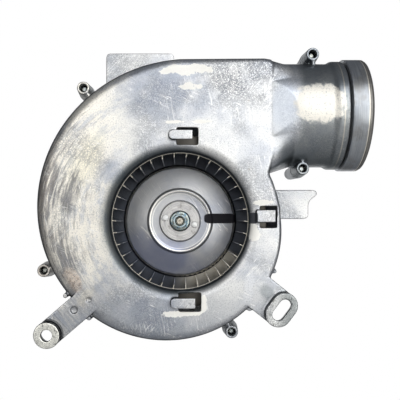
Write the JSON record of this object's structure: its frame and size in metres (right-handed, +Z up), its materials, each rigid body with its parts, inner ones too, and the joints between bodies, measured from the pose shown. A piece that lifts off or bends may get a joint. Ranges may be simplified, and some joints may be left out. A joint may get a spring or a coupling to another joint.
{
  "type": "blower motor wheel",
  "caption": "Centrifugal flue-gas blower: die-cast scroll housing, forward-curved wheel behind a bell-mouth inlet, round side outlet, mounting feet and a motor at the back.",
  "frame": {"origin": "on the wheel's axis, in the plane of the housing's flat front face", "axes": "+X towards the outlet, +Y away from the inlet along the wheel's axis, towards the motor, +Z up as the blower hangs in the boiler"},
  "size_m": [0.2318, 0.1421, 0.2164],
  "materials": {
    "cast_aluminium": "die-cast, stained and lightly scratched",
    "collar_aluminium": "turned, slightly browned",
    "blade_steel": "aluminised sheet, dull",
    "disc_steel": "aluminised sheet, brushed",
    "hub_steel": "turned, satin",
    "shaft_steel": "ground",
    "zinc_steel": "blue-passivated zinc",
    "lamination": "stacked electrical sheet, varnished",
    "terminal_tin": "tinned",
    "copper": "bare copper",
    "bronze": "sintered, oiled",
    "bobbin": "glass-filled nylon",
    "coil_tape": "varnished winding tape",
    "seal": "graphited felt"
  },
  "bodies": {
    "housing": {"housing_front": "cast_aluminium", "housing_rear": "cast_aluminium", "outlet_collar": "collar_aluminium", "housing_screw_1": "zinc_steel", "housing_screw_2": "zinc_steel", "housing_screw_3": "zinc_steel", "housing_screw_4": "zinc_steel", "housing_screw_5": "zinc_steel", "shaft_seal": "seal", "stator_stack": "lamination", "shading_ring_1": "copper", "shading_ring_2": "copper", "coil_bobbin": "bobbin", "coil_winding": "coil_tape", "terminal_1": "terminal_tin", "terminal_2": "terminal_tin", "bearing_bracket_front": "cast_aluminium", "bearing_bracket_rear": "cast_aluminium", "bearing_bush_front": "bronze", "bearing_bush_rear": "bronze", "motor_pillar_1": "zinc_steel", "motor_pillar_2": "zinc_steel", "motor_bolt_1": "zinc_steel", "motor_bolt_2": "zinc_steel"},
    "wheel": {"blade_ring": "blade_steel", "wheel_disc": "disc_steel", "wheel_hub": "hub_steel", "hub_rivet_1": "hub_steel", "hub_rivet_2": "hub_steel", "wheel_nut": "zinc_steel", "motor_shaft": "shaft_steel", "cooling_fan": "disc_steel", "rotor_core": "lamination", "thrust_washer_front": "bronze", "thrust_washer_rear": "bronze"}
  },
  "joints": [
    {"name": "wheel_spin", "type": "hinge", "parent": "housing", "child": "wheel", "pos_m": [0, 0, 0], "axis": [0, 1, 0], "continuous": true}
  ]
}
